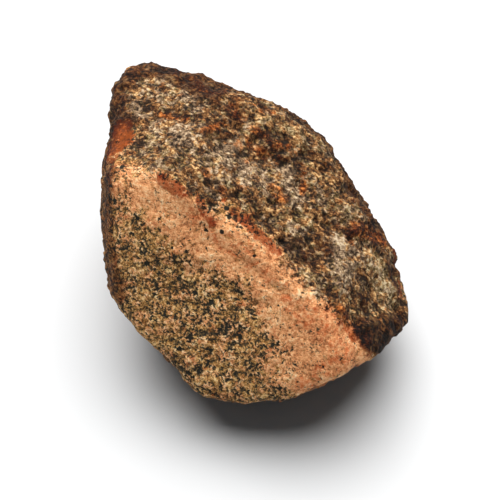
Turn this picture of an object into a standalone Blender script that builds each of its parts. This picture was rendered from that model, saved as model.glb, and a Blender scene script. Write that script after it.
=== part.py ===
"""A rough granite cobble with a dark gneiss crust: one natural solid, at its real size.

The stone is a block bounded by broken faces. Each face is a plane, given by the way it looks and how far it
lies from the stone's heart, and the planes meet in worn, rounded edges. Swells, lumps, ledges, grooves and
chips are then raised on or cut from that block. It stands on a flat fracture at z = 0.

The upper part is a crust of dark gneiss, which is lumpy and layered. The rest is granite, which broke
smoother.

Metres, +Z up. Azimuths turn anticlockwise from +X, and elevations are above the horizon, both in degrees.
"""

import math

import bmesh
import bpy
from mathutils import Vector, noise

# Driving dimensions.
HEART_HEIGHT = 0.0345  # the stone's heart above the fracture that it stands on
EDGE_SHARPNESS = 26.0  # a higher value wears the edges between the faces less
BALL_LEVEL = 3  # the starting ball has 320 triangles
BALL_CUTS = 4  # and each of its edges is cut this often, which makes 25 triangles of each
EVENING_ROUNDS = 25  # how often the triangles are drawn towards one size

# The broken faces: azimuth and elevation of the way each looks, and its distance from the heart.
FACES = {
    "fresh face": (253, 38, 0.0339),
    "crust": (343, 67, 0.0271),
    "crust, left lobe": (136, 78, 0.0405),
    "crust, right end": (340, 38, 0.0364),
    "left, turned up": (188, 7, 0.0465),
    "left, back": (172, -20, 0.0430),
    "lower left": (215, -25, 0.0446),
    "lower left, under": (204, -39, 0.0452),
    "front": (269, -38, 0.0495),
    "front, under": (270, -60, 0.0500),
    "lower right": (307, -32, 0.0479),
    "lower right, under": (317, -47, 0.0490),
    "right": (1, 11, 0.0467),
    "right, back": (23, -20, 0.0452),
    "upper right": (20, 28, 0.0350),
    "upper right, back": (44, -7, 0.0355),
    "top right": (46, 31, 0.0383),
    "top": (66, 42, 0.0412),
    "top, back": (74, 8, 0.0425),
    "top left corner": (141, 30, 0.0665),
    "left, upper": (170, 7, 0.0505),
    "back, under": (112, -38, 0.0440),
    "right, under": (350, -50, 0.0455),
}

# The contact between the gneiss crust above it and the granite below it, given as a face is.
CONTACT = (24, 58, 0.0140)
CONTACT_BLUR = 0.004  # the roughness changes over this depth
SEAM_OFFSET = -0.0022  # the softer rock just under the contact is worn into a shallow hollow: its middle
SEAM_HALF_WIDTH = 0.0024
SEAM_DEPTH = 0.0008

LUMP_MIDDLE = 0.4  # the mean of the lumps' own pattern, taken off so that they don't swell the stone
BREAK_BLUR = 0.35  # share of a small break over which it meets its neighbours

# Relief: wavelength and height.
SWELL = (0.034, 0.0016)
CRUST_BREAKS = (0.0140, 0.0020)
GRANITE_BREAKS = (0.0180, 0.0016)
CRUST_LUMPS = (0.0080, 0.0013)
GRANITE_LUMPS = (0.0110, 0.0006)
CRUST_GRAIN = (0.0045, 0.0007)
GRANITE_GRAIN = (0.0055, 0.0004)

# Ledges where the layers of the gneiss end.
LEDGE_SPACING = 0.0062
LEDGE_HEIGHT = 0.0009
LEDGE_FALL = 0.25  # share of the spacing over which a ledge falls back
LEDGE_WANDER = 0.8  # how many spacings the layers wander
LEDGE_WANDER_WAVELENGTH = 0.025

# Long hollows: azimuth and elevation of both ends from the heart, half width and depth.
GROOVES = (
    ((108, 42), (100, 60), 0.0030, 0.0016),
    ((100, 60), (70, 70), 0.0034, 0.0013),
    ((70, 70), (290, 68), 0.0030, 0.0008),
    ((299, 47), (309, 32), 0.0042, 0.0012),
    ((154, 15), (156, 33), 0.0040, 0.0005),
)

# Chips and pits: azimuth and elevation from the heart, half width and depth.
CHIPS = (
    ((320, 6), 0.0030, 0.0012),
    ((244, 66), 0.0045, 0.0009),
    ((350, -12), 0.0060, 0.0014),
    ((60, 14), 0.0070, 0.0018),
    ((140, -8), 0.0080, 0.0020),
    ((95, -20), 0.0090, 0.0022),
    ((200, -30), 0.0060, 0.0014),
    ((20, -38), 0.0060, 0.0016),
)

STONE_COLOUR = (0.36, 0.24, 0.15, 1.0)
STONE_ROUGHNESS = 0.85


def unit(azimuth, elevation):
    """The unit vector that points this way."""
    a, e = math.radians(azimuth), math.radians(elevation)
    return Vector((math.cos(e) * math.cos(a), math.cos(e) * math.sin(a), math.sin(e)))


PLANES = [(unit(azimuth, elevation), distance) for azimuth, elevation, distance in FACES.values()]


def block_reach(way):
    """How far the worn block reaches from the heart along a unit vector."""
    total = sum(max(0.0, way.dot(normal) / distance) ** EDGE_SHARPNESS for normal, distance in PLANES)
    return total ** (-1.0 / EDGE_SHARPNESS)


def smooth_step(value):
    """0 below 0, 1 above 1, and a smooth rise between."""
    t = min(1.0, max(0.0, value))
    return t * t * (3.0 - 2.0 * t)


def contact_height(point):
    """How far a point from the heart lies above the contact."""
    azimuth, elevation, distance = CONTACT
    return unit(azimuth, elevation).dot(point) - distance


def crust_share(point):
    """1 in the gneiss crust, 0 in the granite under it."""
    return smooth_step(0.5 + contact_height(point) / CONTACT_BLUR)


def lumps(point, wavelength, height):
    """Rounded lumps with creases between them."""
    distances, _ = noise.voronoi(point / wavelength)
    return height * (min(1.0, distances[1] - distances[0]) - LUMP_MIDDLE)


def breaks(point, wavelength, height):
    """Small flat breaks, each tilted its own way, with soft steps between them."""
    place = point / wavelength
    distances, centres = noise.voronoi(place)
    tilt = 2.0 * noise.cell_vector(centres[0]) - Vector((1.0, 1.0, 1.0))
    inside = smooth_step((distances[1] - distances[0]) / BREAK_BLUR)
    return height * inside * tilt.dot(place - centres[0])


def ledges(point):
    """A slow rise and a quick fall over each layer of the gneiss."""
    layer = contact_height(point) / LEDGE_SPACING
    layer += LEDGE_WANDER * noise.noise(point / LEDGE_WANDER_WAVELENGTH)
    rise = layer - math.floor(layer)
    fall = smooth_step((1.0 - rise) / LEDGE_FALL)
    return LEDGE_HEIGHT * (rise * fall - 0.5)


def seam_depth(point):
    """Metres worn away just under the contact."""
    away = (contact_height(point) - SEAM_OFFSET) / SEAM_HALF_WIDTH
    return SEAM_DEPTH * math.exp(-away * away)


def groove_depth(point):
    """Metres cut away by the long hollows."""
    depth = 0.0
    for start, end, half_width, deepest in GROOVES:
        first = unit(*start) * block_reach(unit(*start))
        last = unit(*end) * block_reach(unit(*end))
        along = last - first
        share = min(1.0, max(0.0, (point - first).dot(along) / along.length_squared))
        away = (point - first - along * share).length
        depth = max(depth, deepest * math.exp(-((away / half_width) ** 2)))
    return depth


def chip_depth(point):
    """Metres cut away by the chips, which are shallow scoops with a crisp rim."""
    depth = 0.0
    for way, half_width, deepest in CHIPS:
        centre = unit(*way) * block_reach(unit(*way))
        away = (point - centre).length / half_width
        depth = max(depth, deepest * max(0.0, 1.0 - away * away))
    return depth


def grain(point, wavelength, height):
    """Soft, even roughness."""
    return height * noise.noise(point / wavelength)


def relief(point):
    """Metres that the weathered surface stands proud of the worn block."""
    share = crust_share(point)
    crust = breaks(point, *CRUST_BREAKS) + lumps(point, *CRUST_LUMPS)
    crust += grain(point, *CRUST_GRAIN) + ledges(point)
    granite = breaks(point, *GRANITE_BREAKS) + lumps(point, *GRANITE_LUMPS)
    granite += grain(point, *GRANITE_GRAIN)
    proud = grain(point, *SWELL) + share * crust + (1.0 - share) * granite
    return proud - seam_depth(point) - groove_depth(point) - chip_depth(point)


def surface_point(way):
    """The stone's surface along a unit vector from its heart, in the stone's frame."""
    reach = block_reach(way)
    reach += relief(way * reach)
    drop = -way.z * reach
    if drop > HEART_HEIGHT:
        reach *= HEART_HEIGHT / drop
    point = way * reach
    return Vector((point.x, point.y, max(0.0, point.z + HEART_HEIGHT)))


def even_out(shape):
    """Draws each point of the ball towards its neighbours' places on the block: the triangles then match."""
    neighbours = [[edge.other_vert(vertex).index for edge in vertex.link_edges] for vertex in shape.verts]
    ways = [vertex.co.normalized() for vertex in shape.verts]
    for _ in range(EVENING_ROUNDS):
        places = [way * block_reach(way) for way in ways]
        ways = [sum((places[i] for i in near), Vector()).normalized() for near in neighbours]
    return ways


def stone_material():
    material = bpy.data.materials.new("stone")
    material.use_nodes = True
    shader = material.node_tree.nodes["Principled BSDF"]
    shader.inputs["Base Color"].default_value = STONE_COLOUR
    shader.inputs["Roughness"].default_value = STONE_ROUGHNESS
    shader.inputs["Metallic"].default_value = 0.0
    return material


def make_stone():
    """One closed solid, made by moving each point of a ball out to the stone's surface."""
    mesh = bpy.data.meshes.new("stone")
    shape = bmesh.new()
    bmesh.ops.create_icosphere(shape, subdivisions=BALL_LEVEL, radius=1.0)
    bmesh.ops.subdivide_edges(shape, edges=shape.edges[:], cuts=BALL_CUTS, use_grid_fill=True)
    bmesh.ops.triangulate(shape, faces=shape.faces[:])
    shape.verts.index_update()
    for vertex, way in zip(shape.verts, even_out(shape)):
        vertex.co = surface_point(way)
    bmesh.ops.recalc_face_normals(shape, faces=shape.faces[:])
    shape.to_mesh(mesh)
    shape.free()
    mesh.shade_smooth()
    mesh.materials.append(stone_material())
    stone = bpy.data.objects.new("stone", mesh)
    bpy.context.scene.collection.objects.link(stone)
    return stone


def main():
    for old in list(bpy.data.objects):
        bpy.data.objects.remove(old)
    make_stone()


main()
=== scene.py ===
"""A rough stone, speckled pink granite under a crust of dark gneiss, on a pale floor.

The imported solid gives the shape. It is divided finely and marked with the zones that the stone shows, such
as the crust, the stains and the clean pink rock. Then it is roughened by a modifier's nodes and coloured by
a material's nodes. Both sets of nodes use the same grain patterns, so each grain is raised or hollowed where
its colour is.

Metres in the frame, millimetres in the patterns.
"""

import math

import bmesh
import bpy
import numpy as np
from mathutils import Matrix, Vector
from mathutils.bvhtree import BVHTree


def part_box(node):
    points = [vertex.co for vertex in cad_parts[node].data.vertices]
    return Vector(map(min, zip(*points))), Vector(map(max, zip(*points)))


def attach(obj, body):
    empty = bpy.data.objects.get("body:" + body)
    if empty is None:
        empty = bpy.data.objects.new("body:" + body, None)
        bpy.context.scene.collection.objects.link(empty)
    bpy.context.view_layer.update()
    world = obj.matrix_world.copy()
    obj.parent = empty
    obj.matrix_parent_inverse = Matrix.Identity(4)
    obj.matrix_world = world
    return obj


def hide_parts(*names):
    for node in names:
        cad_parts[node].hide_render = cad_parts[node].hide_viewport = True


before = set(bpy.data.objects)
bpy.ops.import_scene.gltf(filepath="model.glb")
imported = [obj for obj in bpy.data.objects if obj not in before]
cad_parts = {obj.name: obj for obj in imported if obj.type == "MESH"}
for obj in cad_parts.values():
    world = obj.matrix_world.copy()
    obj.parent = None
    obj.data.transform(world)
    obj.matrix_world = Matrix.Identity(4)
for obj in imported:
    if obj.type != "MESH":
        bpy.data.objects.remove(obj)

MM = 0.001
NODE = "stone"
FINE_LEVELS = 2  # levels of subdivision: the first makes three faces of each triangle, the next four of each
WELD_DISTANCE = 0.001 * MM
TINY = 1e-9  # keeps a division away from zero

# The camera. The stone's heart is the middle of its form, and stands at this pixel of the photograph.
FRAME_PIXELS = 500
HEART = Vector((0.0, 0.0, 0.0345))
HEART_PIXEL = (252, 235)
CAMERA_ELEVATION = 55.0
CAMERA_DISTANCE = 0.52
CAMERA_LENS = 120.0
CAMERA_SENSOR = 36.0

# Light: a soft sun from behind, a dim sky that lights the stone, and a white backdrop for the camera alone.
SUN_AZIMUTH = 96.0
SUN_ELEVATION = 65.0
SUN_STRENGTH = 6.2
SUN_SPREAD = 66.0
SKY_STRENGTH = 0.11
SKY_COLOUR = (0.78, 0.91, 1.0, 1.0)
BACKDROP_COLOUR = (1.0, 1.0, 1.0, 1.0)
FLOOR_COLOUR = (0.61, 0.61, 0.61, 1.0)
FLOOR_REACH = 3.0  # metres from the middle to each side

# The contact between the crust and the granite: the way it looks, its distance from the heart in
# millimetres, and pixels of the photograph where the seam shows.
CONTACT_AZIMUTH = 24.0
CONTACT_ELEVATION = 58.0
CONTACT_DISTANCE = 14.0
SEAM_PIXELS = (
    (110, 156),
    (124, 156),
    (142, 161),
    (158, 171),
    (176, 184),
    (194, 196),
    (212, 203),
    (232, 210),
    (252, 228),
    (272, 246),
    (292, 266),
    (310, 286),
    (324, 303),
    (340, 316),
    (356, 332),
    (370, 348),
)
SEAM_REACH = 5.0  # millimetres over which a seam point bends the contact
SEAM_HOLD = 0.3  # the weight of the unbent contact, where a seam point's own weight is 1

# Strokes of crust below the contact: half width and height gained in millimetres, then the pixels.
CRUST_STROKES = (
    (6.5, 14.0, ((116, 76), (114, 104), (113, 120))),
    (5.0, 12.0, ((384, 296), (392, 316), (402, 322))),
    (3.0, 6.0, ((366, 338), (376, 342), (386, 340), (398, 330))),
)

# The faces that the photograph shows, by the way each looks and its distance from the heart in millimetres.
# Away from them the stone is aged: rougher, and darkened by a film.
SHOWN_FACES = (
    (253, 38, 33.9),
    (343, 67, 27.1),
    (136, 78, 40.5),
    (340, 38, 36.4),
)
AGED_START = 1.6  # millimetres behind the shown faces
AGED_DEPTH = 3.2  # and the millimetres over which the aging grows

# Zones marked by strokes along pixels of the photograph: half width in millimetres, strength, then pixels.
# Rust, brick and orange are stains. Blush reddens the pink rock. Film covers the stone with brown in
# patches, and its strokes along the rims, the top edge and the lower right corner are painted shade.
# The painted shade zone darkens that corner and the rims further. Clean rock has few specks. Pale and olive
# are lighter sorts of the crust.
# In a mixed zone crust and granite are mottled, and in a bare zone the crust is gone. A swell's strength is
# the millimetres that a corner is raised.
STROKES = {
    "rust": (
        (3.6, 1.4, ((120, 130), (122, 138), (114, 148), (108, 156))),
        (1.2, 0.4, ((152, 166), (158, 172), (164, 179))),
        (1.1, 0.6, ((184, 193), (192, 191))),
        (1.2, 0.8, ((156, 113), (186, 118))),
        (1.3, 0.9, ((204, 132), (226, 123))),
        (1.9, 0.7, ((248, 140), (262, 152), (278, 160))),
        (1.4, 0.6, ((238, 144), (246, 160))),
        (1.2, 0.7, ((204, 170), (208, 176))),
        (1.3, 0.7, ((222, 186), (224, 198))),
        (1.8, 0.9, ((272, 188), (284, 198))),
        (1.3, 0.6, ((302, 164), (304, 192))),
        (1.4, 0.7, ((252, 128), (272, 142), (300, 152))),
        (1.2, 0.6, ((338, 222), (352, 242))),
        (3.0, 0.7, ((332, 308), (346, 322), (360, 338))),
        (2.6, 1.0, ((358, 228), (382, 240))),
        (1.8, 0.8, ((397, 248), (399, 270), (400, 296))),
        (1.8, 0.8, ((258, 104), (270, 113))),
        (1.8, 0.8, ((230, 108), (242, 118))),
        (1.8, 0.6, ((198, 86), (212, 92))),
        (2.4, 0.5, ((166, 66), (186, 76), (204, 86))),
        (0.9, 0.6, ((172, 374), (186, 384))),
        (0.8, 0.6, ((212, 394), (222, 396))),
    ),
    "brick": (
        (2.1, 1.1, ((162, 180), (172, 185), (180, 190))),
        (1.4, 0.9, ((198, 196), (204, 212), (212, 224))),
        (2.0, 1.1, ((236, 212), (246, 220), (255, 231), (265, 240), (275, 250))),
        (1.8, 0.7, ((110, 164), (108, 184))),
    ),
    "orange": (
        (3.8, 0.85, ((121, 130), (122, 138), (115, 148), (110, 156))),
        (1.2, 0.8, ((397, 248), (399, 270), (400, 290))),
    ),
    "swell": (
        (5.5, 1.7, ((114, 100), (116, 90), (120, 82))),
        (7.0, 1.8, ((374, 340), (388, 335), (398, 326))),
    ),
    "blush": (
        (5.0, 0.42, ((302, 312), (326, 330), (346, 348))),
        (3.0, 0.5, ((350, 352), (330, 368), (300, 386))),
        (3.5, 0.3, ((274, 282), (288, 298), (298, 310))),
        (3.0, 0.4, ((196, 214), (222, 240), (262, 268))),
    ),
    "mixed": (
        (3.6, 1.0, ((330, 308), (346, 324), (360, 342))),
    ),
    "bare": (
        (4.2, 0.55, ((120, 130), (122, 138), (114, 148), (108, 156))),
        (1.8, 1.0, ((162, 178), (172, 183), (182, 190))),
        (1.2, 1.0, ((198, 196), (206, 208), (212, 220))),
        (2.1, 1.0, ((226, 206), (234, 212), (246, 219), (256, 230), (266, 239), (276, 249))),
    ),
    "clean": (
        (6.0, 1.1, ((150, 194), (168, 202), (186, 218))),
        (6.0, 0.55, ((124, 176), (130, 200))),
        (8.0, 1.0, ((196, 232), (236, 252), (262, 266))),
        (10.0, 1.1, ((278, 284), (298, 312), (322, 348))),
        (8.0, 1.0, ((312, 384), (336, 368), (356, 348))),
        (5.0, 0.7, ((280, 364), (298, 386))),
        (3.5, 0.6, ((150, 220), (172, 230))),
    ),
    "pale": (
        (4.0, 0.7, ((372, 262), (384, 288), (388, 306))),
        (4.5, 1.0, ((230, 150), (242, 165), (250, 178))),
        (4.0, 0.9, ((256, 172), (268, 186))),
        (4.0, 1.0, ((286, 176), (294, 196))),
        (5.0, 0.9, ((334, 248), (352, 258), (346, 274))),
        (3.5, 0.9, ((160, 126), (178, 132), (196, 130))),
        (2.5, 0.8, ((146, 92), (160, 96))),
        (1.8, 1.0, ((160, 80), (168, 82))),
        (2.2, 0.9, ((186, 92), (196, 108))),
        (3.0, 0.6, ((176, 140), (196, 148), (214, 152))),
        (2.2, 0.8, ((140, 112), (148, 114))),
        (3.5, 0.6, ((224, 166), (216, 182))),
        (1.8, 1.0, ((292, 226), (298, 232))),
    ),
    "olive": (
        (5.0, 1.5, ((376, 266), (384, 288), (388, 304))),
        (3.0, 0.7, ((362, 308), (378, 322))),
        (3.5, 0.7, ((262, 118), (286, 128), (300, 140))),
        (3.0, 0.5, ((308, 150), (330, 180))),
        (3.0, 0.6, ((286, 216), (316, 222))),
    ),
    # Painted shade: the lower right corner under its edge, the left rims and the top edge, where the stone
    # turns away from the light.
    "painted_shade": (
        (4.4, 0.85, ((366, 338), (380, 334), (394, 326))),
        (1.6, 0.9, ((361, 300), (366, 312))),
        (2.4, 0.7, ((106, 176), (105, 220), (106, 262), (112, 290))),
        (2.0, 0.7, ((112, 126), (108, 142), (106, 158))),
        (2.6, 0.5, ((150, 66), (182, 76), (206, 88))),
    ),
    # Film: the patches on the crust are the stone's own dark film. The strokes along the top edge, the left,
    # lower left and right rims and the lower right corner are painted shade.
    "film_and_painted_shade": (
        (4.6, 1.9, ((140, 64), (156, 66), (182, 76), (210, 90))),
        (2.4, 0.7, ((200, 100), (222, 106), (240, 118))),
        (3.0, 0.5, ((350, 312), (362, 330))),
        (3.0, 0.4, ((326, 196), (342, 214), (352, 226))),
        (2.2, 0.5, ((112, 128), (112, 142), (108, 158))),
        (4.2, 1.4, ((120, 78), (116, 104), (114, 122))),
        (2.2, 1.0, ((124, 112), (132, 124))),
        (1.8, 0.7, ((206, 136), (228, 136))),
        (2.0, 0.5, ((266, 144), (282, 156), (300, 164))),
        (2.0, 0.6, ((306, 142), (318, 158))),
        (3.4, 0.8, ((288, 246), (304, 250), (322, 246))),
        (2.2, 0.8, ((298, 258), (314, 258))),
        (4.4, 1.7, ((364, 332), (378, 333), (392, 327))),
        (3.6, 1.6, ((366, 342), (380, 336), (396, 322))),
        (1.6, 1.2, ((361, 298), (366, 310))),
        (2.4, 0.9, ((384, 252), (392, 270), (398, 288))),
        (2.0, 0.6, ((334, 224), (352, 230))),
        (3.4, 1.4, ((108, 176), (107, 220), (109, 262), (116, 292))),
        (2.6, 0.8, ((114, 304), (132, 334), (160, 366), (196, 394))),
    ),
}

STROKE_FADE = 1.5  # a stroke ends at this many half widths, and is full up to one half width less

# Big black mica spots: pixel and half width in millimetres.
SPOTS = (
    (122, 166, 1.0),
    (114, 200, 0.8),
    (207, 203, 0.4),
    (227, 208, 0.9),
    (229, 217, 0.8),
    (206, 231, 0.8),
    (222, 232, 0.8),
    (204, 184, 1.1),
    (250, 224, 0.5),
    (147, 264, 0.9),
    (172, 248, 0.6),
    (182, 244, 0.5),
    (189, 262, 0.6),
    (195, 293, 0.8),
    (211, 302, 0.8),
    (184, 326, 0.7),
    (179, 349, 0.8),
    (187, 373, 0.8),
    (240, 338, 0.7),
    (236, 310, 0.6),
    (222, 306, 0.5),
    (210, 392, 0.7),
    (254, 256, 0.6),
    (260, 262, 0.4),
)


def camera_axes():
    """Right, up and back of the camera at the photograph's view."""
    tilt = math.radians(CAMERA_ELEVATION)
    back = Vector((0.0, -math.cos(tilt), math.sin(tilt)))
    right = Vector((1.0, 0.0, 0.0))
    return right, back.cross(right), back


def make_camera():
    right, up, back = camera_axes()
    camera = bpy.data.objects.new("camera", bpy.data.cameras.new("camera"))
    camera.data.lens = CAMERA_LENS
    camera.data.sensor_width = CAMERA_SENSOR
    camera.data.shift_x = (FRAME_PIXELS / 2 - HEART_PIXEL[0]) / FRAME_PIXELS
    camera.data.shift_y = (HEART_PIXEL[1] - FRAME_PIXELS / 2) / FRAME_PIXELS
    camera.location = HEART + back * CAMERA_DISTANCE
    camera.rotation_mode = "QUATERNION"
    camera.rotation_quaternion = back.to_track_quat("Z", "Y")
    bpy.context.scene.collection.objects.link(camera)
    bpy.context.scene.camera = camera


def direction(azimuth, elevation):
    """The unit vector that points this way, in degrees."""
    a, e = math.radians(azimuth), math.radians(elevation)
    return Vector((math.cos(e) * math.cos(a), math.cos(e) * math.sin(a), math.sin(e)))


def make_light():
    sun = bpy.data.objects.new("sun", bpy.data.lights.new("sun", "SUN"))
    sun.data.energy = SUN_STRENGTH
    sun.data.angle = math.radians(SUN_SPREAD)
    sun.rotation_mode = "QUATERNION"
    sun.rotation_quaternion = direction(SUN_AZIMUTH, SUN_ELEVATION).to_track_quat("Z", "Y")
    bpy.context.scene.collection.objects.link(sun)
    bpy.context.scene.world = make_sky()
    bpy.context.scene.view_settings.view_transform = "Standard"


def make_sky():
    """A dim sky that lights the stone, and a white backdrop beyond the floor."""
    world = bpy.data.worlds.new("sky")
    world.use_nodes = True
    nodes, links = world.node_tree.nodes, world.node_tree.links
    light = nodes["Background"]
    light.inputs["Color"].default_value = SKY_COLOUR
    light.inputs["Strength"].default_value = SKY_STRENGTH
    backdrop = nodes.new("ShaderNodeBackground")
    backdrop.inputs["Color"].default_value = BACKDROP_COLOUR
    either = nodes.new("ShaderNodeMixShader")
    links.new(nodes.new("ShaderNodeLightPath").outputs["Is Camera Ray"], either.inputs[0])
    links.new(light.outputs[0], either.inputs[1])
    links.new(backdrop.outputs[0], either.inputs[2])
    links.new(either.outputs[0], nodes["World Output"].inputs["Surface"])
    return world


def make_floor():
    corners = [(x * FLOOR_REACH, y * FLOOR_REACH, 0.0) for x, y in ((-1, -1), (1, -1), (1, 1), (-1, 1))]
    mesh = bpy.data.meshes.new("floor")
    mesh.from_pydata(corners, [], [(0, 1, 2, 3)])
    material = bpy.data.materials.new("floor")
    material.use_nodes = True
    shader = material.node_tree.nodes["Principled BSDF"]
    shader.inputs["Base Color"].default_value = FLOOR_COLOUR
    shader.inputs["Roughness"].default_value = 1.0
    shader.inputs["Specular IOR Level"].default_value = 0.0
    mesh.materials.append(material)
    floor = bpy.data.objects.new("floor", mesh)
    bpy.context.scene.collection.objects.link(floor)


def evaluated_mesh(thing, name):
    """The mesh that an object's modifiers make."""
    graph = bpy.context.evaluated_depsgraph_get()
    mesh = bpy.data.meshes.new_from_object(thing.evaluated_get(graph))
    mesh.name = name
    return mesh


def fine_copy(name):
    """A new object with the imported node's shape, welded and finely divided."""
    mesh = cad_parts[NODE].data.copy()
    shape = bmesh.new()
    shape.from_mesh(mesh)
    bmesh.ops.remove_doubles(shape, verts=shape.verts[:], dist=WELD_DISTANCE)
    shape.to_mesh(mesh)
    shape.free()
    thing = bpy.data.objects.new(name, mesh)
    bpy.context.scene.collection.objects.link(thing)
    divide = thing.modifiers.new("divide", "SUBSURF")
    divide.levels = FINE_LEVELS
    divide.render_levels = FINE_LEVELS
    thing.data = evaluated_mesh(thing, name)
    thing.modifiers.clear()
    thing.data.materials.clear()
    return thing


def places_of(mesh):
    """The mesh's points, as rows of millimetres from the heart."""
    flat = np.zeros(len(mesh.vertices) * 3, np.float32)
    mesh.vertices.foreach_get("co", flat)
    return (flat.reshape(-1, 3) - np.array(HEART)) / MM


def mark(mesh, name, values):
    """Stores one number, or one vector, for each point of the mesh."""
    values = np.asarray(values, np.float32)
    if values.ndim == 2:
        mesh.attributes.new(name, "FLOAT_VECTOR", "POINT").data.foreach_set("vector", values.ravel())
    else:
        mesh.attributes.new(name, "FLOAT", "POINT").data.foreach_set("value", values)


def smooth_step(values):
    """0 below 0, 1 above 1, and a smooth rise between."""
    t = np.clip(values, 0.0, 1.0)
    return t * t * (3.0 - 2.0 * t)


class Sight:
    """Finds where a pixel of the photograph lies on the stone."""

    def __init__(self, thing):
        mesh = thing.data
        corners = [vertex.co.copy() for vertex in mesh.vertices]
        self.tree = BVHTree.FromPolygons(corners, [tuple(face.vertices) for face in mesh.polygons])

    def place(self, x, y):
        """Millimetres from the heart."""
        right, up, back = camera_axes()
        focal = CAMERA_LENS / CAMERA_SENSOR * FRAME_PIXELS
        ray = right * (x - HEART_PIXEL[0]) / focal + up * (HEART_PIXEL[1] - y) / focal - back
        start = HEART + back * CAMERA_DISTANCE
        found = self.tree.ray_cast(start, ray.normalized())[0]
        if found is None:
            found = self.tree.find_nearest(start + ray * CAMERA_DISTANCE)[0]
        return np.array((found - HEART) / MM)


def away_from_line(places, line):
    """The distance of each place from a line of points."""
    nearest = np.full(len(places), np.inf)
    for first, last in zip(line[:-1], line[1:]):
        along = last - first
        share = np.clip((places - first) @ along / max(along @ along, TINY), 0.0, 1.0)
        away = np.linalg.norm(places - first - share[:, None] * along, axis=1)
        nearest = np.minimum(nearest, away)
    return nearest


def contact_heights(places, sight):
    """Millimetres above the contact, which is a plane bent to pass through the seam's points."""
    normal = np.array(direction(CONTACT_AZIMUTH, CONTACT_ELEVATION))
    heights = places @ normal - CONTACT_DISTANCE
    pull = np.zeros(len(places))
    total = np.full(len(places), SEAM_HOLD)
    for pixel in SEAM_PIXELS:
        point = sight.place(*pixel)
        weight = np.exp(-np.sum((places - point) ** 2, axis=1) / (2.0 * SEAM_REACH**2))
        pull += weight * (point @ normal - CONTACT_DISTANCE)
        total += weight
    return heights - pull / total + stroke_zone(places, sight, CRUST_STROKES)


def aged_zone(places):
    """0 on the faces that the photograph shows, and 1 well behind them."""
    depths = []
    for azimuth, elevation, distance in SHOWN_FACES:
        depths.append(distance - places @ np.array(direction(azimuth, elevation)))
    return smooth_step((np.min(depths, axis=0) - AGED_START) / AGED_DEPTH)


def stroke_zone(places, sight, strokes):
    """The strength of the strongest stroke at each place."""
    zone = np.zeros(len(places))
    for half_width, strength, pixels in strokes:
        away = away_from_line(places, [sight.place(*pixel) for pixel in pixels])
        zone = np.maximum(zone, strength * smooth_step(STROKE_FADE - away / half_width))
    return zone


def spot_zone(places, sight):
    """1 inside the big black spots, 0 outside."""
    zone = np.zeros(len(places))
    for x, y, half_width in SPOTS:
        away = np.linalg.norm(places - sight.place(x, y), axis=1)
        zone = np.maximum(zone, smooth_step(STROKE_FADE - away / half_width))
    return zone


def mark_zones(thing):
    mesh = thing.data
    places = places_of(mesh)
    sight = Sight(thing)
    mark(mesh, "place", places)
    mark(mesh, "contact", contact_heights(places, sight))
    for name, strokes in STROKES.items():
        mark(mesh, name, stroke_zone(places, sight, strokes))
    mark(mesh, "aged", aged_zone(places))
    mark(mesh, "spot", spot_zone(places, sight))


# The colour sockets of a mix node.
MIX_SHARE = 0
MIX_FIRST = 6
MIX_SECOND = 7
MIX_RESULT = 2


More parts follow.
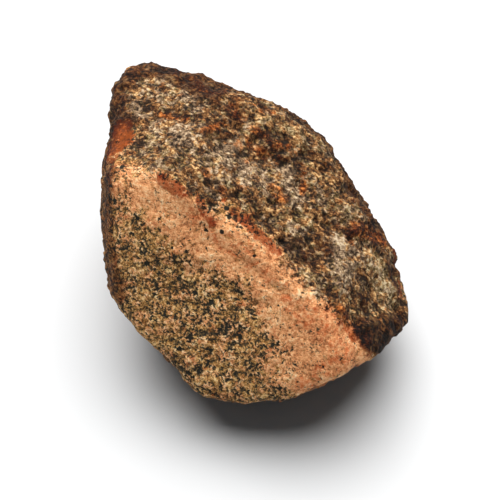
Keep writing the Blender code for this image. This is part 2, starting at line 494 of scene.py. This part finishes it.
class Graph:
    """Adds nodes to a tree and links them, with the same calls for a material and for a modifier."""

    def __init__(self, tree):
        self.tree = tree

    def add(self, kind, sockets=None, output=0, **settings):
        node = self.tree.nodes.new(kind)
        for name, value in settings.items():
            setattr(node, name, value)
        for name, value in (sockets or {}).items():
            self.feed(node.inputs[name], value)
        return node.outputs[output]

    def feed(self, socket, value):
        if isinstance(value, bpy.types.NodeSocket):
            self.tree.links.new(value, socket)
        else:
            socket.default_value = value

    def zone(self, name):
        """A number that the mesh stores for each point."""
        if self.tree.type == "GEOMETRY":
            return self.add("GeometryNodeInputNamedAttribute", {"Name": name}, data_type="FLOAT")
        return self.add("ShaderNodeAttribute", output="Fac", attribute_name=name)

    def place(self):
        """Where a point lay before it was raised or hollowed, in millimetres from the heart."""
        if self.tree.type == "GEOMETRY":
            return self.add("GeometryNodeInputNamedAttribute", {"Name": "place"}, data_type="FLOAT_VECTOR")
        return self.add("ShaderNodeAttribute", output="Vector", attribute_name="place")

    def math(self, operation, first, second=0.0):
        return self.add("ShaderNodeMath", {0: first, 1: second}, operation=operation)

    def plus(self, first, second):
        return self.math("ADD", first, second)

    def less(self, first, second):
        return self.math("SUBTRACT", first, second)

    def times(self, first, second):
        return self.math("MULTIPLY", first, second)

    def most(self, first, second):
        return self.math("MAXIMUM", first, second)

    def ramp(self, value, low, high, low_out=0.0, high_out=1.0):
        """A smooth rise from low to high, or a fall where low is above high."""
        if low > high:
            low, high, low_out, high_out = high, low, high_out, low_out
        sockets = {"Value": value, "From Min": low, "From Max": high, "To Min": low_out, "To Max": high_out}
        return self.add("ShaderNodeMapRange", sockets, interpolation_type="SMOOTHSTEP")

    def swing(self, value, reach):
        """A value about 0.5 made into one about 0, from -reach/2 to reach/2."""
        return self.times(self.less(value, 0.5), reach)

    def total(self, *parts):
        """The sum of these values."""
        result = parts[0]
        for part in parts[1:]:
            result = self.plus(result, part)
        return result

    def scaled(self, place, factors):
        return self.add("ShaderNodeVectorMath", {0: place, 1: factors}, operation="MULTIPLY")

    def turned(self, place, degrees):
        """The place turned about the upright axis."""
        sockets = {"Vector": place, "Angle": math.radians(degrees)}
        return self.add("ShaderNodeVectorRotate", sockets, rotation_type="Z_AXIS")

    def noise(self, place, size, detail=2.0, roughness=0.5, output=0):
        """Cloudy noise about 0.5, with lumps of this many millimetres."""
        sockets = {"Vector": place, "Scale": 1.0 / size, "Detail": detail, "Roughness": roughness}
        return self.add("ShaderNodeTexNoise", sockets, output=output)

    def warped(self, place, size, reach):
        """Places pushed about by noise, which makes the outlines of grains uneven."""
        cloud = self.noise(place, size, output="Color")
        centred = self.add("ShaderNodeVectorMath", {0: cloud, 1: (0.5, 0.5, 0.5)}, operation="SUBTRACT")
        pushed = self.scaled(centred, (reach, reach, reach))
        return self.add("ShaderNodeVectorMath", {0: place, 1: pushed}, operation="ADD")

    def flakes(self, place, size):
        """Two random numbers from 0 to 1 for each angular grain of this many millimetres."""
        sockets = {"Vector": place, "Scale": 1.0 / size}
        colour = self.add("ShaderNodeTexVoronoi", sockets, output="Color", feature="F1")
        parts = self.tree.nodes.new("ShaderNodeSeparateXYZ")
        self.tree.links.new(colour, parts.inputs[0])
        return parts.outputs[0], parts.outputs[1]

    def mix(self, share, first, second, blend="MIX"):
        sockets = {MIX_SHARE: share, MIX_FIRST: first, MIX_SECOND: second}
        return self.add("ShaderNodeMix", sockets, output=MIX_RESULT, data_type="RGBA", blend_type=blend)

    def mix_number(self, share, first, second):
        return self.plus(self.times(share, second), self.times(self.less(1.0, share), first))

    def steps(self, value, stops):
        """A colour for the value, blended between stops of position and colour."""
        node = self.tree.nodes.new("ShaderNodeValToRGB")
        elements = node.color_ramp.elements
        elements[0].position, elements[0].color = stops[0]
        elements[1].position, elements[1].color = stops[-1]
        for position, colour in stops[1:-1]:
            elements.new(position).color = colour
        self.feed(node.inputs["Fac"], value)
        return node.outputs["Color"]


def palette(*stops):
    """Colours for rising tones."""
    return [(position, (red, green, blue, 1.0)) for position, red, green, blue in stops]


OLIVE = palette(
    (0.00, 0.014, 0.008, 0.003),
    (0.25, 0.064, 0.037, 0.012),
    (0.50, 0.180, 0.106, 0.036),
    (0.75, 0.366, 0.244, 0.106),
    (1.00, 0.700, 0.550, 0.330),
)
ROSE = palette(
    (0.00, 0.018, 0.010, 0.005),
    (0.25, 0.092, 0.053, 0.030),
    (0.50, 0.245, 0.152, 0.084),
    (0.75, 0.450, 0.300, 0.170),
    (1.00, 0.690, 0.530, 0.350),
)
BROWN = palette(
    (0.00, 0.014, 0.006, 0.002),
    (0.25, 0.068, 0.026, 0.008),
    (0.50, 0.200, 0.082, 0.024),
    (0.75, 0.420, 0.205, 0.070),
    (1.00, 0.780, 0.500, 0.220),
)
SALMON = palette(
    (0.00, 0.200, 0.070, 0.024),
    (0.25, 0.500, 0.180, 0.066),
    (0.50, 0.760, 0.320, 0.125),
    (0.75, 0.900, 0.460, 0.205),
    (1.00, 0.980, 0.680, 0.380),
)
OCHRE = palette(
    (0.00, 0.042, 0.021, 0.007),
    (0.25, 0.228, 0.102, 0.026),
    (0.50, 0.485, 0.238, 0.067),
    (0.75, 0.720, 0.405, 0.137),
    (1.00, 0.900, 0.635, 0.290),
)
# Stains that multiply the rock's own colour, and painted shade that multiplies it too.
RUST = (0.60, 0.27, 0.14, 1.0)
RUST_ON_CRUST = (1.08, 0.62, 0.34, 1.0)
BRICK = (0.45, 0.23, 0.15, 1.0)
BLUSH = (0.84, 0.50, 0.38, 1.0)
# Dark film. On the rims, the top edge and the lower right corner it is painted shade.
FILM_AND_PAINTED_SHADE = (0.36, 0.26, 0.18, 1.0)
# Painted shade for the lower right corner and the rims.
PAINTED_SHADE = (0.42, 0.38, 0.34, 1.0)
# Colours that cover the rock's own: a thick stain, and the specks with their edges.
ORANGE = (0.25, 0.052, 0.007, 1.0)
MICA_EDGE = (0.078, 0.058, 0.027, 1.0)
MICA = (0.018, 0.016, 0.010, 1.0)

# Noises: lump size in millimetres, detail and roughness.
RAGGED = (1.8, 4.0, 0.7)
PATCHY = (5.0, 3.0, 0.5)
BROAD = (12.0, 2.0, 0.5)
BLOTCHES = (3.2, 4.0, 0.65)
LUMPS = (3.2, 3.0, 0.5)
GRIT = (1.3, 4.0, 0.78)
FINE = (0.6, 2.0, 0.7)
STREAKS = (1.0, 3.0, 0.6)
LAYERS = (0.9, 4.0, 0.75)
SMALL_SPECKS = (0.8, 2.0, 0.6)
LARGE_SPECKS = (1.7, 3.0, 0.65)
SPECK_CROWDS = (4.5, 3.0, 0.6)
ROSE_PATCHES = (2.2, 4.0, 0.75)
BROWN_PATCHES = (3.1, 4.0, 0.75)
SALMON_PATCHES = (2.6, 4.0, 0.7)
SMALL_FLECKS = (1.7, 4.0, 0.65)
LARGE_FLECKS = (3.2, 4.0, 0.65)

# How places are pushed about before a noise: size and reach of the push in millimetres.
LUMP_PUSH = (3.5, 2.0)
GRIT_PUSH = (1.2, 1.0)
FINE_PUSH = (0.6, 0.5)
FLAKE_PUSH = (0.5, 0.7)
LAYER_PUSH = (1.4, 0.9)
SMALL_SPECK_PUSH = (0.8, 0.6)
LARGE_SPECK_PUSH = (1.6, 1.0)

# Flakes are angular grains: their sizes in millimetres, and the small ones' share of the tone.
SMALL_FLAKE = 0.85
LARGE_FLAKE = 1.9
SMALL_FLAKE_SHARE = 0.65

# The gneiss's layers are turned by this many degrees, and its grains are drawn out along them.
LAYER_TURN = 20.0
STREAK_STRETCH = (0.2, 1.0, 1.0)
LAYER_STRETCH = (0.4, 1.0, 1.0)

# How far patterns push the contact, in millimetres from their lowest to their highest value.
EDGE_SWINGS = {"ragged": 5.0, "blotches": 3.0}
MIXED_SWINGS = {"ragged": 8.0, "blotches": 10.0}
BARE_DROP = 9.0  # millimetres that a bare zone lowers the crust's edge
CRUST_EDGE = 0.5  # the colour changes within this many millimetres of the contact
CRUST_RELIEF_EDGE = 1.5  # and so does the relief

# How zones end: the swings of their edges, and the strengths between which they set in.
ZONE_SWINGS = {"ragged": 3.0, "blotches": 2.0}
CLEAN_SWING = 1.8
ZONE_EDGE = (0.1, 1.0)
ZONE_FADE = (0.0, 0.3)

# Rust flecks all over: the noise values between which they set in, and the strongest rust in them.
SMALL_FLECK_EDGE = (0.61, 0.69)
LARGE_FLECK_EDGE = (0.60, 0.68)
FLECK_RUST = 0.6

# Black mica: the specks' level in their noise, what moves that level, and how the specks' edges blend.
MICA_LEVEL = 0.472
MICA_CROWDING = 0.30
MICA_LOST_IN_CLEAN = 0.088
SMALL_SPECK_SHARE = 0.62
SPOT_SWING = 1.4
SPOT_EDGE = (0.4, 1.0)
SPOT_DEPTH = 0.3
MICA_CORE = (0.0, 0.05)
MICA_HALO = (-0.055, 0.01)
MICA_HALO_SHARE = 0.85
MICA_PIT_EDGE = (-0.02, 0.05)
MICA_PIT = 0.18  # millimetres

# Relief in millimetres, from a pattern's lowest value to its highest.
CRUST_RELIEF = {"patchy": 2.8, "lumps": 3.4, "grit": 1.1}
GRANITE_RELIEF = {"patchy": 1.2, "lumps": 0.9, "grit": 0.6}
AGED_ROUGHER = 0.6  # moves aged granite towards the crust's relief, where 1 is all the way
RELIEF_SINK = 0.15  # taken off everywhere, so that the relief doesn't swell the stone

# The crust's tone, and where its olive, pale, rose and brown sorts lie.
CRUST_TONE = 0.35
CRUST_TONE_SWINGS = {
    "grit": 1.3,
    "fine": 1.3,
    "flake_tone": 0.85,
    "streaks": 0.8,
    "layers": 1.6,
    "patchy": 1.3,
}
OLIVE_LIGHTER = 0.20
PALE_LIGHTER = 0.13
ROSE_SWINGS = {"flake_sort": 0.24}
ROSE_IN_PALE = 0.14
ROSE_LOST_IN_OLIVE = 0.14
ROSE_EDGE = (0.46, 0.56)
BROWN_SWINGS = {"broad": 0.3, "flake_sort_large": 0.22, "streaks": 0.5}
BROWN_LOST_IN_PALE = 0.14
BROWN_EDGE = (0.43, 0.53)

# The granite's tone, and where its salmon sort lies.
GRANITE_TONE = 0.50
GRANITE_CONTRAST = 3.2
FINE_SHARE = 0.5
GRAIN_MIDDLE = 0.75  # the mean of the grit plus its share of the fine noise
GRANITE_PATCHY = 0.9
GRANITE_FLAKES = 0.55
CLEAN_LIGHTER = 0.065
SALMON_IN_CLEAN = 0.9
SALMON_SWING = 4.5
SALMON_EDGE = (-0.3, 0.7)

# The dark film on aged rock, and how the thick orange stain varies.
AGED_SWING = 1.6
AGED_FILM_EDGE = (0.0, 0.9)
AGED_FILM = 0.9
ORANGE_EDGE = (0.35, 0.6)
ORANGE_SHARES = (0.35, 0.9)

# The finish.
SPECULAR = 0.2
ROUGHNESS_EDGE = (0.2, 0.8)
ROUGHNESS = (0.65, 0.95)
BUMP_FINE_SHARE = 0.5
BUMP_DISTANCE = 0.8 * MM


class Patterns:
    """The zones and the grains, which the modifier and the material share."""

    def __init__(self, graph):
        self.graph = graph
        self.place = graph.place()
        self.ragged = graph.noise(self.place, *RAGGED)
        self.patchy = graph.noise(self.place, *PATCHY)
        self.broad = graph.noise(self.place, *BROAD)
        self.blotches = graph.noise(self.place, *BLOTCHES)
        self.lumps = graph.noise(graph.warped(self.place, *LUMP_PUSH), *LUMPS)
        self.grit = graph.noise(graph.warped(self.place, *GRIT_PUSH), *GRIT)
        self.fine = graph.noise(graph.warped(self.place, *FINE_PUSH), *FINE)
        self.aged = graph.zone("aged")
        self.add_flakes()
        self.add_layers()
        self.add_rocks()

    def add_flakes(self):
        """The angular grains: a tone for each, and two numbers that sort them."""
        graph = self.graph
        jagged = graph.warped(self.place, *FLAKE_PUSH)
        small_tone, self.flake_sort = graph.flakes(jagged, SMALL_FLAKE)
        large_tone, self.flake_sort_large = graph.flakes(jagged, LARGE_FLAKE)
        self.flake_tone = graph.plus(
            graph.times(small_tone, SMALL_FLAKE_SHARE),
            graph.times(large_tone, 1.0 - SMALL_FLAKE_SHARE),
        )

    def add_layers(self):
        """Noises drawn out along the gneiss's layers."""
        graph = self.graph
        straight = graph.turned(self.place, LAYER_TURN)
        wavy = graph.turned(graph.warped(self.place, *LAYER_PUSH), LAYER_TURN)
        self.streaks = graph.noise(graph.scaled(straight, STREAK_STRETCH), *STREAKS)
        self.layers = graph.noise(graph.scaled(wavy, LAYER_STRETCH), *LAYERS)

    def add_rocks(self):
        """Where the crust lies, and where the granite is clean."""
        graph = self.graph
        clean = graph.plus(graph.zone("clean"), graph.swing(self.blotches, CLEAN_SWING))
        self.clean = graph.ramp(clean, *ZONE_EDGE)
        edge = self.swung(EDGE_SWINGS, graph.zone("contact"))
        edge = graph.plus(edge, graph.times(graph.zone("mixed"), self.swung(MIXED_SWINGS)))
        edge = graph.less(edge, graph.times(graph.zone("bare"), BARE_DROP))
        self.crust = graph.ramp(edge, -CRUST_EDGE, CRUST_EDGE)
        self.crust_relief = graph.ramp(edge, -CRUST_RELIEF_EDGE, CRUST_RELIEF_EDGE)

    def swung(self, swings, start=0.0):
        """The start, moved by named patterns that each swing about 0 with their own reach."""
        parts = [self.graph.swing(getattr(self, name), reach) for name, reach in swings.items()]
        return self.graph.total(start, *parts)

    def spread(self, name):
        """A zone whose edge is ragged and breaks up into flecks."""
        graph = self.graph
        zone = graph.zone(name)
        pushed = graph.plus(zone, self.swung(ZONE_SWINGS))
        return graph.times(graph.ramp(pushed, *ZONE_EDGE), graph.ramp(zone, *ZONE_FADE))

    def within(self, name, amount):
        """This amount inside the spread zone, and 0 outside."""
        return self.graph.times(self.spread(name), amount)


def mica(patterns):
    """How far inside a black speck of the granite a place lies, below 0 outside. The specks crowd."""
    graph = patterns.graph
    small = graph.noise(graph.warped(patterns.place, *SMALL_SPECK_PUSH), *SMALL_SPECKS)
    large = graph.noise(graph.warped(patterns.place, *LARGE_SPECK_PUSH), *LARGE_SPECKS)
    both = graph.plus(graph.times(small, SMALL_SPECK_SHARE), graph.times(large, 1.0 - SMALL_SPECK_SHARE))
    crowd = graph.noise(patterns.place, *SPECK_CROWDS)
    level = graph.plus(MICA_LEVEL, graph.swing(crowd, MICA_CROWDING))
    level = graph.less(level, graph.times(patterns.clean, MICA_LOST_IN_CLEAN))
    spot = graph.plus(graph.zone("spot"), graph.swing(patterns.ragged, SPOT_SWING))
    spot = graph.times(graph.ramp(spot, *SPOT_EDGE), graph.zone("spot"))
    return graph.plus(graph.less(level, both), graph.times(spot, SPOT_DEPTH))


def relief(patterns):
    """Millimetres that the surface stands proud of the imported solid."""
    graph = patterns.graph
    on_crust = patterns.swung(CRUST_RELIEF)
    pit = graph.ramp(mica(patterns), *MICA_PIT_EDGE, 0.0, MICA_PIT)
    on_granite = graph.less(patterns.swung(GRANITE_RELIEF), pit)
    rough = graph.plus(patterns.crust_relief, graph.times(patterns.aged, AGED_ROUGHER))
    proud = graph.mix_number(graph.ramp(rough, 0.0, 1.0), on_granite, on_crust)
    return graph.plus(graph.less(proud, RELIEF_SINK), graph.zone("swell"))


def roughen(thing):
    """Raises and hollows the fine mesh with a geometry modifier, and applies it."""
    tree = bpy.data.node_groups.new("relief", "GeometryNodeTree")
    tree.interface.new_socket("Geometry", in_out="INPUT", socket_type="NodeSocketGeometry")
    tree.interface.new_socket("Geometry", in_out="OUTPUT", socket_type="NodeSocketGeometry")
    graph = Graph(tree)
    height = relief(Patterns(graph))
    kept = graph.add(
        "GeometryNodeStoreNamedAttribute",
        {"Geometry": graph.add("NodeGroupInput"), "Name": "height", "Value": height},
        data_type="FLOAT",
        domain="POINT",
    )
    raised = graph.times(graph.zone("height"), MM)  # the patterns are in millimetres, the mesh in metres
    normal = graph.add("GeometryNodeInputNormal")
    offset = graph.add("ShaderNodeVectorMath", {0: normal, "Scale": raised}, operation="SCALE")
    moved = graph.add("GeometryNodeSetPosition", {"Geometry": kept, "Offset": offset})
    outlet = tree.nodes.new("NodeGroupOutput")
    tree.links.new(moved, outlet.inputs[0])
    thing.modifiers.new("relief", "NODES").node_group = tree
    thing.data = evaluated_mesh(thing, thing.name)
    thing.modifiers.clear()


def keep_inside(thing, corners):
    """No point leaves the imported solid's box."""
    flat = np.zeros(len(thing.data.vertices) * 3, np.float32)
    thing.data.vertices.foreach_get("co", flat)
    inside = np.clip(flat.reshape(-1, 3), np.array(corners[0]), np.array(corners[1]))
    thing.data.vertices.foreach_set("co", inside.astype(np.float32).ravel())
    thing.data.update()


def crust_tone(patterns):
    """How light each grain of the crust is, from 0 to 1."""
    tone = patterns.swung(CRUST_TONE_SWINGS, CRUST_TONE)
    return patterns.graph.total(
        tone,
        patterns.within("olive", OLIVE_LIGHTER),
        patterns.within("pale", PALE_LIGHTER),
    )


def crust_colour(patterns):
    """Olive, rose grey and brown grains, each sort in its own patches."""
    graph = patterns.graph
    tone = crust_tone(patterns)
    rose = patterns.swung(ROSE_SWINGS, graph.noise(patterns.place, *ROSE_PATCHES))
    rose = graph.plus(rose, patterns.within("pale", ROSE_IN_PALE))
    rose = graph.less(rose, patterns.within("olive", ROSE_LOST_IN_OLIVE))
    cool = graph.mix(graph.ramp(rose, *ROSE_EDGE), graph.steps(tone, OLIVE), graph.steps(tone, ROSE))
    brown = patterns.swung(BROWN_SWINGS, graph.noise(patterns.place, *BROWN_PATCHES))
    brown = graph.less(brown, patterns.within("pale", BROWN_LOST_IN_PALE))
    return graph.mix(graph.ramp(brown, *BROWN_EDGE), cool, graph.steps(tone, BROWN))


def granite_tone(patterns):
    """How light each grain of the granite is, from 0 to 1. Clean rock is a little lighter and more even."""
    graph = patterns.graph
    grain = graph.plus(patterns.grit, graph.times(patterns.fine, FINE_SHARE))
    contrast = graph.less(GRANITE_CONTRAST, patterns.clean)
    flakes = graph.swing(patterns.flake_tone, GRANITE_FLAKES)
    return graph.total(
        graph.times(graph.less(grain, GRAIN_MIDDLE), contrast),
        graph.swing(patterns.patchy, GRANITE_PATCHY),
        graph.times(flakes, graph.less(1.0, patterns.clean)),
        GRANITE_TONE,
        graph.times(patterns.clean, CLEAN_LIGHTER),
    )


def granite_colour(patterns):
    """Salmon and ochre feldspar with black specks."""
    graph = patterns.graph
    tone = granite_tone(patterns)
    patches = graph.swing(graph.noise(patterns.place, *SALMON_PATCHES), SALMON_SWING)
    salmon = graph.plus(graph.times(patterns.clean, SALMON_IN_CLEAN), patches)
    rock = graph.mix(graph.ramp(salmon, *SALMON_EDGE), graph.steps(tone, OCHRE), graph.steps(tone, SALMON))
    inside = mica(patterns)
    rock = graph.mix(graph.ramp(inside, *MICA_HALO, 0.0, MICA_HALO_SHARE), rock, MICA_EDGE)
    return graph.mix(graph.ramp(inside, *MICA_CORE), rock, MICA)


def rust_share(patterns):
    """Rust in its zones, and in flecks all over."""
    graph = patterns.graph
    small = graph.ramp(graph.noise(patterns.place, *SMALL_FLECKS), *SMALL_FLECK_EDGE)
    large = graph.ramp(graph.noise(patterns.place, *LARGE_FLECKS), *LARGE_FLECK_EDGE)
    return graph.most(patterns.spread("rust"), graph.times(graph.plus(large, small), FLECK_RUST))


def film_and_painted_shade_share(patterns):
    """The dark film in its zones and on aged rock. Its strokes on the rims, the top edge and the lower right
    corner are painted shade.
    """
    graph = patterns.graph
    aged = graph.times(graph.plus(patterns.aged, graph.swing(patterns.ragged, AGED_SWING)), patterns.aged)
    return graph.most(patterns.spread("film_and_painted_shade"), graph.times(graph.ramp(aged, *AGED_FILM_EDGE), AGED_FILM))


def stained(patterns, colour):
    """The rock's colour under its stains and its painted shade."""
    graph = patterns.graph
    rust = graph.mix(patterns.crust, RUST, RUST_ON_CRUST)
    thick = graph.times(patterns.spread("orange"), graph.ramp(patterns.ragged, *ORANGE_EDGE, *ORANGE_SHARES))
    colour = graph.mix(patterns.spread("blush"), colour, BLUSH, blend="MULTIPLY")
    colour = graph.mix(patterns.spread("brick"), colour, BRICK, blend="MULTIPLY")
    colour = graph.mix(rust_share(patterns), colour, rust, blend="MULTIPLY")
    colour = graph.mix(thick, colour, ORANGE)
    # Painted shade on the lower right corner and the rims.
    colour = graph.mix(patterns.spread("painted_shade"), colour, PAINTED_SHADE, blend="MULTIPLY")
    # Dark film, and film on aged rock. On the rims, the top edge and the lower right corner it is painted
    # shade.
    return graph.mix(film_and_painted_shade_share(patterns), colour, FILM_AND_PAINTED_SHADE, blend="MULTIPLY")


def stone_material():
    material = bpy.data.materials.new("stone")
    material.use_nodes = True
    graph = Graph(material.node_tree)
    patterns = Patterns(graph)
    colour = graph.mix(patterns.crust, granite_colour(patterns), crust_colour(patterns))
    bumps = graph.plus(graph.times(patterns.fine, BUMP_FINE_SHARE), patterns.grit)
    shader = material.node_tree.nodes["Principled BSDF"]
    shader.inputs["Metallic"].default_value = 0.0
    shader.inputs["Specular IOR Level"].default_value = SPECULAR
    graph.feed(shader.inputs["Base Color"], stained(patterns, colour))
    graph.feed(shader.inputs["Roughness"], graph.ramp(patterns.ragged, *ROUGHNESS_EDGE, *ROUGHNESS))
    normal = graph.add("ShaderNodeBump", {"Height": bumps, "Distance": BUMP_DISTANCE, "Strength": 1.0})
    graph.feed(shader.inputs["Normal"], normal)
    return material


def make_stone():
    thing = fine_copy("stone_surface")
    mark_zones(thing)
    roughen(thing)
    keep_inside(thing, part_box(NODE))
    thing.data.shade_smooth()
    thing.data.materials.append(stone_material())
    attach(thing, "root")
    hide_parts(NODE)


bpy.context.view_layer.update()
make_camera()
make_light()
make_floor()
make_stone()
